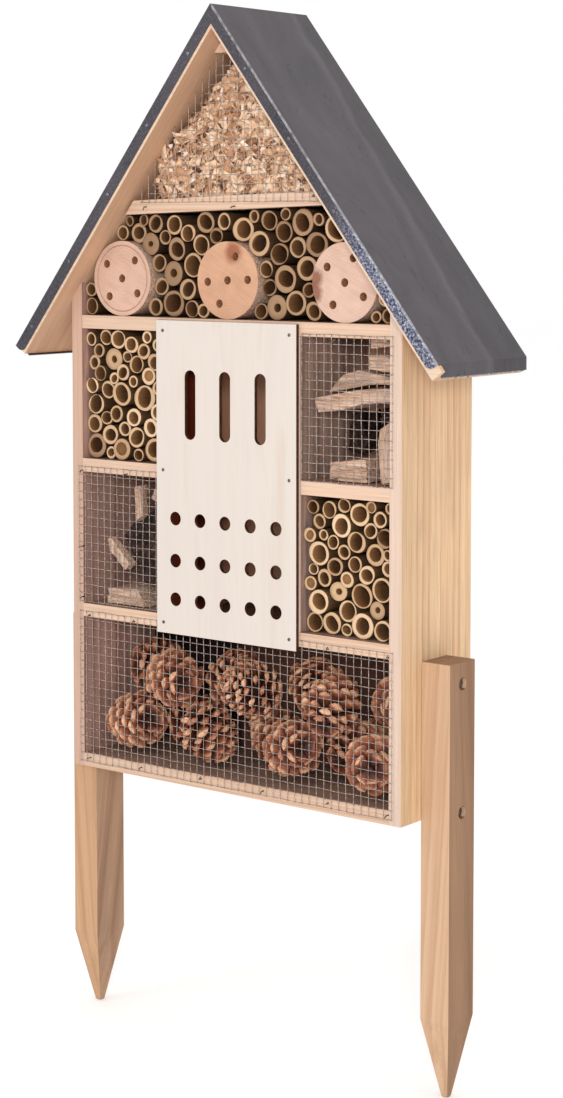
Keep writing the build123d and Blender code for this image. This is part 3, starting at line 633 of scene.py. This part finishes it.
def refined(node, width):
    """A bmesh of a CAD node with its flat faces joined and its long edges softened."""
    bm = cad_mesh(node)
    bmesh.ops.dissolve_limit(bm, angle_limit=math.radians(0.5), verts=bm.verts, edges=bm.edges)
    sharp = [
        e for e in bm.edges
        if len(e.link_faces) == 2 and e.calc_face_angle() > math.radians(30) and e.calc_length() > 0.003
    ]
    look = {"segments": 2, "profile": 0.6, "affect": "EDGES", "clamp_overlap": True}
    bmesh.ops.bevel(bm, geom=sharp, offset=width, **look)
    bmesh.ops.triangulate(bm, faces=[f for f in bm.faces if len(f.verts) > 4])
    return bm


def from_bmesh(bm, name, materials, pick=None):
    """An object from a bmesh; pick says which material a face has."""
    mesh = bpy.data.meshes.new(name)
    if pick:
        for face in bm.faces:
            face.material_index = pick(face)
    bm.to_mesh(mesh)
    bm.free()
    for material in materials:
        mesh.materials.append(material)
    return added(name, mesh)


def board(node, slot, materials, pick=None, width=0.0005):
    """A CAD board with softened edges and a material for each kind of face."""
    return settle(from_bmesh(refined(node, width), node + "_wood", materials, pick), slot, node)


# ---------------------------------------------------------------- carpentry
def make_boards(m):
    front = lambda face: 1 if abs(face.normal.y) > 0.7 else 0
    indoors = lambda face: 1 if face.normal.z > 0.7 else 0
    inward = lambda face: face.normal.x * face.calc_center_median().x < -0.1
    wall_faces = lambda face: 1 if abs(face.normal.y) > 0.7 else (2 if inward(face) else 0)
    # the left divider's face towards the centre bay, which takes the painted shade and light
    browned = lambda face: face.normal.x > 0.7 and face.calc_center_median().x < 0
    divider_faces = lambda face: 2 if browned(face) else front(face)
    shelf = [m["shelf_wood"], m["inside_wood"]]
    for side in ("left", "right"):
        edge = m["edge_" + side + "_wood"]
        stake = [m[side + "_stake_side"], m[side + "_stake_front"]]
        roof = [m["roof_" + side + "_wood"], m["roof_edge_wood"]]
        wall = [m["wall_" + side + "_wood"], edge, m["wall_inside_wood"]]
        board(side + "_side_wall", "pine", wall, wall_faces)
        board(side + "_divider", "pine", [m["divider_side_wood"], edge, m["browned"]], divider_faces)
        board(side + "_stake", "stake_wood", stake, front, 0.0008)
        board(side + "_mid_shelf", "pine", shelf, indoors)
        board(side + "_roof_board", "roof_wood", roof, front)
    for node in ("bottom_board", "lower_shelf", "upper_shelf", "center_mid_shelf"):
        board(node, "pine", shelf, indoors)
    board("gable_shelf", "pine", shelf[:1])
    board("apex_block", "pine", [m["block_wood"]])
    back = [m["back_outside_wood"], m["back_inside"]]
    board("back_panel", "back_panel", back, lambda f: 1 if f.normal.y < -0.7 else 0)
    plywood = [m["scorch"], m["panel"]]
    board("front_panel", "plywood", plywood, lambda f: 1 if abs(f.normal.y) > 0.9 else 0, 0.00035)


def make_roof_sheet(m):
    """The folded sheet, with its edges eased and a painted highlight on the fold over the right flange."""
    bm = refined("roof_sheet", 0.00045)
    # the fold's bevel faces take the lighter metal: a painted highlight
    folded = lambda n: 0.2 < -n.y < 0.97 and n.x > 0.1 and n.z > -0.2
    painted_fold_highlight = lambda face: 1 if folded(face.normal) else 0
    settle(from_bmesh(bm, "roof_sheet_metal", [m["sheet"], m["fold"]], painted_fold_highlight), "roof_sheet", "roof_sheet")


def make_roof_lap(m):
    """A narrow lap of sheet in the slit where the two front flanges meet under the ridge."""
    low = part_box("roof_sheet")[0]
    half = 0.0012
    front = [v.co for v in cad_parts["roof_sheet"].data.vertices if v.co.y < low.y + 0.0001]
    near = [corner.z for corner in front if abs(corner.x) < 0.004]
    bottom, top = min(near), max(near)
    shoulder = top - half * math.tan(SLOPE)
    outline = [(-half, bottom), (half, bottom), (half, shoulder), (0, top), (-half, shoulder)]
    verts = [(x, low.y + depth, z) for depth in (0.00015, 0.0005) for x, z in outline]
    count = len(outline)
    faces = [tuple(range(count)), tuple(reversed(range(count, 2 * count)))]
    faces += [(k, k + count, (k + 1) % count + count, (k + 1) % count) for k in range(count)]
    settle(mesh_object("roof_sheet_lap", verts, faces, [m["sheet"]], smooth=False), "roof_sheet")


def make_hem_burr(m):
    """The torn lower edge of the hem at the right eave: a thin uneven lip."""
    rng = random.Random(40)
    wood_low, wood_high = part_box("right_roof_board")
    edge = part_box("roof_sheet")[1].x - 0.0003
    inner, outer = edge - 0.0004, edge - 0.0001
    hem = roof_hem_bottom()
    top = hem + 0.0006
    count = 120
    verts = []
    for k in range(count + 1):
        y = wood_low.y + 0.005 + (wood_high.y - wood_low.y - 0.006) * k / count
        drop = 0.0004 + 0.0014 * max(0, noise.noise((k * 0.23, 7, 0)) + 0.25) * rng.uniform(0.5, 1.2)
        out = min(noise.noise((k * 0.31, 3, 0)) * 0.0002, 0)
        low = hem - drop
        verts += [(inner, y, top), (outer, y, top), (outer + out, y, low), (inner + out, y, low)]
    faces = closed_rows(0, count + 1, 4)
    settle(mesh_object("roof_sheet_burr", verts, faces, [m["fold"]], smooth=False), "roof_sheet")


def roof_hem_bottom():
    """The lowest height of the sheet's hem at the right eave."""
    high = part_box("roof_sheet")[1]
    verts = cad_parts["roof_sheet"].data.vertices
    return min(v.co.z for v in verts if v.co.x > high.x - 0.0007)


# ---------------------------------------------------------------- bamboo
def tube_mesh(node, seed, m, mean):
    """Every tube of one bay: an uneven round wall with a cut face, and a bore that ends at a joint."""
    rng = random.Random(seed)
    verts, faces, picks, tint, deep = [], [], [], [], []
    for points in loose_parts(node):
        low, high = points.min(0), points.max(0)
        cx, cz, radius = (low[0] + high[0]) / 2, (low[2] + high[2]) / 2, (high[0] - low[0]) / 2
        front, back = low[1], high[1]
        share = rng.uniform(0.62, 0.81)
        kind = rng.random()
        depth = rng.uniform(0.012, 0.05)
        plugged = kind < 0.04
        if plugged:
            share, depth = rng.uniform(0.6, 0.7), 0.0016
        elif kind < 0.1:
            share = rng.uniform(0.22, 0.36)
        oval, turn = rng.uniform(0.0, 0.05), rng.uniform(0, math.pi)
        inner_oval, inner_turn = rng.uniform(0.0, 0.12), rng.uniform(0, math.pi)
        off = (rng.uniform(-0.06, 0.06) * radius, rng.uniform(-0.06, 0.06) * radius)
        lean = (rng.uniform(-0.05, 0.05), rng.uniform(-0.05, 0.05))
        tone = min(max(rng.gauss(mean, 0.22), 0), 1)
        phase = rng.uniform(0, 50)
        # a row's third value says how deep in the bore it lies, for the bore's painted shade
        rows = [
            (back, 1.0, 0), (front + 0.0005, 1.0, 0), (front, 0.965, 0),
            (front, share + 0.04, 0), (front + 0.0005, share, 0),
            (front + depth * 0.35, share * 0.99, 0 if plugged else 0.5),
            (front + depth, share * 0.96, 0 if plugged else 1.0),
        ]
        start = len(verts)
        for y, size, down in rows:
            inside = size < 0.9
            for a in around(TUBE_SIDES):
                spot = (math.cos(a) * 1.3 + phase, math.sin(a) * 1.3, 0.3 * inside)
                wobble = noise.noise(spot) * (0.05 if inside else 0.022)
                outer = oval * (math.cos(2 * (a - turn)) - 1)
                stretch = 1 + (inner_oval * math.cos(2 * (a - inner_turn)) if inside else outer)
                r = radius * size * stretch * (1 + (wobble if inside else wobble - 0.022))
                x = r * math.cos(a) + (off[0] if inside else 0)
                z = r * math.sin(a) + (off[1] if inside else 0)
                slant = (x * lean[0] + z * lean[1]) if y < front + 0.001 else 0
                verts.append((cx + x, y + slant + abs(slant) * 0.2, cz + z))
                tint.append(tone)
                deep.append(down)
        faces += closed_rows(start, len(rows), TUBE_SIDES)
        # skin on the outside, rim on the cut, bore inside; then the back end and the bottom of the bore
        picks += [pick for pick in (0, 1, 1, 1, 2, 2) for _ in range(TUBE_SIDES)] + [0, 2]
    piece = mesh_object(node + "_tubes", verts, faces, [m["skin"], m["rim"], m["bore"]], picks)
    set_attribute(piece, "tint", tint)
    set_attribute(piece, "deep", deep)
    return settle(piece, "bamboo", node)


# ---------------------------------------------------------------- logs
def cut_ring(piece, centre, front, inner, outer, depth):
    """Cuts a shallow round groove into a log's front face."""
    sides = 72
    verts, faces = [], []
    for radius in (inner, outer):
        for y in (front - 0.001, front + depth):
            for a in around(sides):
                verts.append((centre[0] + radius * math.cos(a), y, centre[1] + radius * math.sin(a)))
    for k in range(sides):
        n = (k + 1) % sides
        for p, q in ((0, 1), (1, 3), (3, 2), (2, 0)):
            faces.append((p * sides + k, p * sides + n, q * sides + n, q * sides + k))
    cutter = outward(mesh_object("groove", verts, faces, []))
    modifier = piece.modifiers.new("groove", "BOOLEAN")
    modifier.operation, modifier.object, modifier.solver = "DIFFERENCE", cutter, "EXACT"
    made_plain(piece)
    bpy.data.objects.remove(cutter)


def make_logs(m):
    """The three logs; the left one has a groove round its face, the others have brown marks."""
    looks = {
        "left": (srgb(200, 163, 143), srgb(166, 118, 94), 0.0026),
        "center": (srgb(196, 151, 121), srgb(156, 102, 70), 0.0021),
        "right": (srgb(204, 171, 154), srgb(172, 128, 108), 0.0024),
    }
    for side, (base, dark, ring) in looks.items():
        node = side + "_log"
        low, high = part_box(node)
        x, z, radius = (low.x + high.x) / 2, (low.z + high.z) / 2, (high.x - low.x) / 2
        marks = []
        if side == "center":
            marks = [((x + radius * 0.2, low.y, z + radius * 0.72), 0.009, srgb(140, 74, 44))]
        if side == "right":
            spots = [(x - radius * 0.92, low.y, z + k * radius) for k in (-0.25, 0.1)]
            marks = [(spot, 0.008, srgb(122, 66, 44)) for spot in spots]
        face = make_log_face(node + "_face", (x, z), base, dark, ring, marks)

        def pick(f, x=x, z=z, radius=radius):
            c = f.calc_center_median()
            if abs(f.normal.y) > 0.6:
                return 0
            return 1 if math.hypot(c.x - x, c.z - z) > radius * 0.9 else 2

        piece = from_bmesh(refined(node, 0.0006), node + "_wood", [face, m["split"], m["drilled"]], pick)
        if side == "left":
            cut_ring(piece, (x, z), low.y, radius * 0.86, radius * 0.895, 0.0012)
        settle(piece, "log_wood", node)


# ---------------------------------------------------------------- wire
def wire_mesh(node, m, seed):
    """Each wire of a mesh, very slightly wavy."""
    rng = random.Random(seed)
    sides, step = 6, WIRE_PITCH / 2
    verts, faces = [], []
    for points in loose_parts(node):
        low, high = Vector(points.min(0)), Vector(points.max(0))
        size = high - low
        along = 0 if size.x > size.z else 2
        radius = size.y / 2 * 0.84
        centre = (low + high) / 2
        count = max(2, int(size[along] / step))
        phase = rng.uniform(0, 100)
        start = len(verts)
        for k in range(count + 1):
            p = centre.copy()
            p[along] = low[along] + size[along] * k / count
            across = 2 - along
            p[across] += noise.noise((p[along] * 60 + phase, 0, 0)) * 0.0005
            p.y += noise.noise((p[along] * 45 + phase, 5, 0)) * 0.00025
            for a in around(sides):
                q = p.copy()
                q[across] += radius * math.cos(a)
                q.y += radius * math.sin(a)
                verts.append(q)
        faces += closed_rows(start, count + 1, sides)
    piece = outward(mesh_object(node + "_wires", verts, faces, [m["wire"]]))
    return settle(piece, "wire", node)


def domed_nails(node, material, seed):
    """Nails with low domed heads, hammered a little askew, over the places of a CAD node's nails."""
    rng = random.Random(seed)
    verts, faces = [], []
    sides = 10
    for points in loose_parts(node):
        low, high = points.min(0), points.max(0)
        size = high - low
        along = int(np.argmax(size))
        others = [k for k in range(3) if k != along]
        radius = max(size[others[0]], size[others[1]]) / 2
        centre = (low + high) / 2
        near_low = points[np.abs(points[:, along] - low[along]) < 1e-5]
        spread = np.ptp(near_low[:, others[0]])
        head_at_low = spread > radius * 1.2
        top = low[along] if head_at_low else high[along]
        inward = 1 if head_at_low else -1
        height = 0.0005
        lean = (rng.uniform(-0.1, 0.1), rng.uniform(-0.1, 0.1))
        start = len(verts)
        profile = [(height, 0.999), (height * 0.35, 0.98), (height * 0.08, 0.7), (0.0, 0.3)]
        for depth, share in profile:
            for a in around(sides):
                p = np.array(centre, float)
                u, v = radius * share * math.cos(a), radius * share * math.sin(a)
                p[others[0]] += u
                p[others[1]] += v
                p[along] = top + inward * max(depth + (u * lean[0] + v * lean[1]) * 0.5, 0)
                verts.append(p)
        faces += closed_rows(start, len(profile), sides)
    piece = outward(mesh_object(node + "_heads", verts, faces, [material]))
    return settle(piece, "fastener_steel", node)


def tube_along(path, radius):
    """Points and faces of a closed round tube along a path."""
    sides = 8
    verts = []
    for k, p in enumerate(path):
        ahead = (path[min(k + 1, len(path) - 1)] - path[max(k - 1, 0)]).normalized()
        side = ahead.cross(Vector((0.3, 0.2, 1)) if abs(ahead.z) < 0.9 else Vector((1, 0, 0))).normalized()
        other = ahead.cross(side)
        for a in around(sides):
            verts.append(p + (side * math.cos(a) + other * math.sin(a)) * radius)
    return verts, closed_rows(0, len(path), sides)


def bent_pins(node, m, seed):
    """Wire pins driven in through the mesh, their heads knocked over across it."""
    rng = random.Random(seed)
    verts, faces = [], []
    for points in loose_parts(node):
        low, high = points.min(0), points.max(0)
        x, z, front = (low[0] + high[0]) / 2, (low[2] + high[2]) / 2, low[1]
        a = rng.uniform(0.2, 1.2) + rng.choice((0, math.pi))
        reach = rng.uniform(0.0014, 0.0027)
        across = Vector((math.cos(a), 0, math.sin(a)))
        base = Vector((x, front, z))
        path = [base + Vector((0, 0.004, 0)), base + Vector((0, 0.0008, 0))]
        for t in (0.12, 0.35, 0.7, 1.0):
            path.append(base + across * reach * t + Vector((0, -0.0009 + 0.0006 * t * t, 0)))
        v, f = tube_along(path, 0.00042)
        start = len(verts)
        verts += v
        faces += [tuple(start + i for i in face) for face in f]
    piece = mesh_object(node + "_bent", verts, faces, [m["nail"]])
    return settle(piece, "fastener_steel", node)


# ---------------------------------------------------------------- shavings
def inside_outline(x, z, outline):
    """Whether a point lies in a closed outline."""
    inside = False
    for k, (x1, z1) in enumerate(outline):
        x0, z0 = outline[k - 1]
        if (z0 > z) != (z1 > z) and x < (x1 - x0) * (z - z0) / (z1 - z0) + x0:
            inside = not inside
    return inside


def pile_outline(node):
    """The front outline of the heap, corner by corner."""
    bm = cad_mesh(node)
    low = min(v.co.y for v in bm.verts)
    corners = [v.co for v in bm.verts if abs(v.co.y - low) < 1e-5]
    centre = sum((Vector((c.x, c.z)) for c in corners), Vector((0, 0))) / len(corners)
    angle = lambda c: math.atan2(c[1] - centre.y, c[0] - centre.x)
    ordered = sorted(((c.x, c.z) for c in corners), key=angle)
    bm.free()
    return ordered


def make_shavings(m):
    """A heap of curled flakes over a rough core, with painted shade on the deeper flakes and on the core."""
    rng = random.Random(8)
    outline = pile_outline("wood_shavings")
    low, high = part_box("wood_shavings")
    verts, faces, tint = [], [], []
    made = 0
    while made < FLAKES:
        x, z = rng.uniform(low.x, high.x), rng.uniform(low.z, high.z)
        if not inside_outline(x, z, outline):
            continue
        y = low.y + 0.002 + abs(rng.gauss(0, 0.006))
        length, width = rng.uniform(0.004, 0.018), rng.uniform(0.0018, 0.0064)
        bend = rng.uniform(0.4, 3.2) * rng.choice((-1, 1))
        thick = 0.00022
        turn = Matrix.Rotation(rng.uniform(0, math.tau), 3, "Y")
        turn = turn @ Matrix.Rotation(rng.gauss(0, 0.7), 3, "X")
        turn = turn @ Matrix.Rotation(rng.gauss(0, 0.5), 3, "Z")
        steps = 5
        start = len(verts)
        radius = length / abs(bend)
        # painted shade: flakes further back get lower tints, which the ramp makes darker
        tone = rng.random() * max(0.15, 1 - (y - low.y) / 0.014)
        twist = rng.uniform(-0.6, 0.6)
        for k in range(steps + 1):
            t = k / steps - 0.5
            a = t * bend
            px = radius * math.sin(a) * (1 if bend > 0 else -1)
            py = radius * (1 - math.cos(a))
            w = width * (0.75 + 0.25 * math.cos(t * 2.6)) * (1 + 0.25 * noise.noise((made * 3.1, t * 4, 0)))
            for side in (-0.5, 0.5):
                for lift in (0, thick):
                    p = Vector((px + side * w * math.sin(twist * t), py + lift, side * w))
                    verts.append(Vector((x, y, z)) + turn @ p)
                    tint.append(tone)
        for k in range(steps):
            a = start + 4 * k
            b = a + 4
            faces += [(a, b, b + 2, a + 2), (a + 1, a + 3, b + 3, b + 1)]
            faces += [(a, a + 1, b + 1, b), (a + 2, b + 2, b + 3, a + 3)]
        last = start + 4 * steps
        faces += [(start, start + 2, start + 3, start + 1), (last, last + 1, last + 3, last + 2)]
        made += 1
    behind_wires = FRONT_Y + 0.0009
    for v in verts:
        v.y = min(max(v.y, behind_wires), BACK_Y)
    piece = mesh_object("shaving_flakes", verts, faces, [m["flake"]])
    set_attribute(piece, "tint", tint)
    settle(piece, "shavings", "wood_shavings")
    shell = refined("wood_shavings", 0.002)
    bmesh.ops.subdivide_edges(shell, edges=shell.edges, cuts=12, use_grid_fill=True)
    for v in shell.verts:
        v.co.y += 0.005 if v.co.y < low.y + 0.02 else 0
        n = noise.noise_vector(v.co * 180)
        v.co += n * 0.0012
    body = from_bmesh(shell, "shaving_core", [m["flake"]])
    # painted shade: the core's low tint darkens the gaps between the flakes
    set_attribute(body, "tint", [0.12 * (0.5 + noise.noise(v.co * 300)) for v in body.data.vertices])
    settle(body, "shavings")


# ---------------------------------------------------------------- wood and bark pieces
def rough_chunk(node, m, material, slot, voxel, strength, scale, seed):
    """A split or broken piece: the CAD block remeshed fine and roughened along its grain."""
    low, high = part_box(node)
    upright = high.z - low.z > high.x - low.x
    material = "split_upright" if upright and material == "split" else material
    bm = refined(node, 0.0006)
    piece = from_bmesh(bm, node + "_piece", [m[material]])
    modifier = piece.modifiers.new("fine", "REMESH")
    modifier.mode, modifier.voxel_size = "VOXEL", voxel
    mesh = made_plain(piece)
    mesh.materials.clear()
    mesh.materials.append(m[material])
    for v in mesh.vertices:
        p = v.co * scale + Vector((seed, 0, 0))
        fine = (p.x * 5, p.y * 2, p.z * 0.6) if upright else (p.x * 0.6, p.y * 2, p.z * 5)
        grain = noise.noise((p.x * 0.5, p.y * 0.6, p.z * 1.6)) * 0.6 + noise.noise(fine) * 0.4
        v.co += v.normal * (grain - 0.35) * strength
    mesh.polygons.foreach_set("use_smooth", [True] * len(mesh.polygons))
    mesh.update()
    return settle(piece, slot, node)


# ---------------------------------------------------------------- cones
def make_cone(points, rng):
    """One open pine cone: woody scales on a rising spiral, thick and pale at their tips."""
    centre = points.mean(0)
    values, vectors = np.linalg.eigh(np.cov((points - centre).T))
    axis = Vector(vectors[:, int(np.argmax(values))]).normalized()
    spread = (points - centre) @ np.array(axis)
    half = float(np.ptp(spread)) / 2
    centre = Vector(centre + np.array(axis) * (spread.max() + spread.min()) / 2)
    away, line = points - np.array(centre), np.array(axis)
    radius = float(np.linalg.norm(away - np.outer(away @ line, line), axis=1).max())
    if away @ line @ np.ones(len(points)) > 0:
        axis = -axis
    turn = axis.to_track_quat("Z", "Y").to_matrix()
    verts, faces, along = [], [], []
    # along a scale: how far out, width, thickness and tone; round it: shares of width and thickness
    rows = [
        (0.0, 0.35, 0.6, 0.0), (0.5, 0.7, 0.7, 0.35), (0.82, 1.0, 1.0, 0.7),
        (0.95, 0.86, 1.5, 0.9), (1.0, 0.3, 0.8, 1.0),
    ]
    rim = ((-1, 0.0), (-0.55, 0.75), (0, 1.0), (0.55, 0.75), (1, 0.0), (0.5, -0.6), (-0.5, -0.6))
    golden = math.pi * (3 - math.sqrt(5))
    spin = rng.uniform(0, 6.28)
    for k in range(CONE_SCALES):
        t = (k + 0.5) / CONE_SCALES
        z = half * (-0.86 + 1.66 * t)
        taper = 1 if t < 0.85 else 1 - (t - 0.85) * 3.2
        envelope = radius * math.sqrt(max(1 - (2 * t - 0.78) ** 2 * 0.62, 0.08)) * taper
        reach = envelope * min(1, 0.5 + 3 * t) * rng.uniform(0.84, 0.99)
        rise = math.radians(-34 + 96 * t ** 0.8 + rng.uniform(-9, 9))
        wide = radius * 0.25 * (1 - 0.4 * t) * rng.uniform(0.85, 1.15)
        thick = radius * 0.085 * (1 - 0.3 * t)
        shade = rng.uniform(-0.16, 0.1)
        a = spin + k * golden
        out, up = Vector((math.cos(a), math.sin(a), 0)), Vector((0, 0, 1))
        side = Vector((-math.sin(a), math.cos(a), 0))
        root = out * radius * 0.12 + up * (z - reach * 0.28 * math.sin(rise))
        heading = (out * math.cos(rise) + up * math.sin(rise)).normalized()
        upper = side.cross(heading).normalized() * -1
        start = len(verts)
        for s, w, h, tone in rows:
            curl = upper * (reach * 0.14 * s * s)
            p = root + heading * reach * s * 0.98 + curl
            for e, f in rim:
                verts.append(centre + turn @ (p + side * wide * w * e + upper * thick * h * f))
                along.append(min(1.0, max(0.0, tone + shade + rng.uniform(-0.08, 0.08))))
        faces += closed_rows(start, len(rows), len(rim))
    # the woody core that the scales stand on
    start, sides, levels = len(verts), 10, 6
    for i in range(levels + 1):
        t = i / levels
        r = radius * 0.3 * math.sin(math.pi * min(max(t, 0.06), 0.94)) + 0.0004
        for a in around(sides):
            spot = Vector((r * math.cos(a), r * math.sin(a), half * (-0.95 + 1.8 * t)))
            verts.append(centre + turn @ spot)
            along.append(0.1)
    return verts, faces + closed_rows(start, levels + 1, sides), along


def make_cones(m):
    """All the cones as one piece, kept inside the bottom bay."""
    rng = random.Random(21)
    verts, faces, along = [], [], []
    for points in loose_parts("pine_cones"):
        v, f, a = make_cone(points, rng)
        base = len(verts)
        verts += v
        faces += [tuple(base + i for i in face) for face in f]
        along += a
    low = Vector((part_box("left_side_wall")[1].x, FRONT_Y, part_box("bottom_board")[1].z))
    high = Vector((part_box("right_side_wall")[0].x, BACK_Y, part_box("lower_shelf")[0].z))
    edge = 0.0008
    for v in verts:
        for k in range(3):
            v[k] = min(max(v[k], low[k] + edge), high[k] - edge)
    piece = mesh_object("cone_scales", verts, faces, [m["cone"]], smooth=False)
    set_attribute(piece, "along", along)
    return settle(outward(piece), "cone", "pine_cones")


def make_stage(m):
    """A wide round floor just under the stakes' tips."""
    sides, reach = 96, 14.0
    verts = [(reach * math.cos(a), reach * math.sin(a), -0.0003) for a in around(sides)]
    floor = mesh_object("floor", verts, [tuple(range(sides))], [m["floor"]], smooth=False)


# ---------------------------------------------------------------- the whole object
make_camera()
make_light()
M = make_materials()
make_stage(M)
make_boards(M)
make_roof_sheet(M)
make_roof_lap(M)
make_hem_burr(M)
# the upper bay's lower mean tint is a painted shade under the roof
for place, seed, tone in (("upper", 31, 0.2), ("left", 32, 0.64), ("right", 33, 0.62)):
    tube_mesh(place + "_bamboo", seed, M, tone)
make_logs(M)
for k, node in enumerate(("gable_mesh", "right_upper_mesh", "left_lower_mesh", "bottom_mesh")):
    wire_mesh(node, M, 50 + k)
for k, node in enumerate(("roof_nails", "panel_nails", "back_nails", "stake_screws")):
    domed_nails(node, M["roof_nail" if node == "roof_nails" else "nail"], 60 + k)
bent_pins("mesh_nails", M, 66)
make_shavings(M)
for k, node in enumerate(sorted(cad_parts)):
    if node.startswith("wood_") and node != "wood_shavings":
        rough_chunk(node, M, "split", "rough_wood", 0.0009, 0.0011, 120, 70 + k)
    elif node.startswith("bark_"):
        pale = node in ("bark_flake", "bark_chip")
        look, strength = ("split", 0.0012) if pale else ("bark", 0.0022)
        rough_chunk(node, M, look, "bark", 0.0011, strength, 110, 70 + k)
make_cones(M)
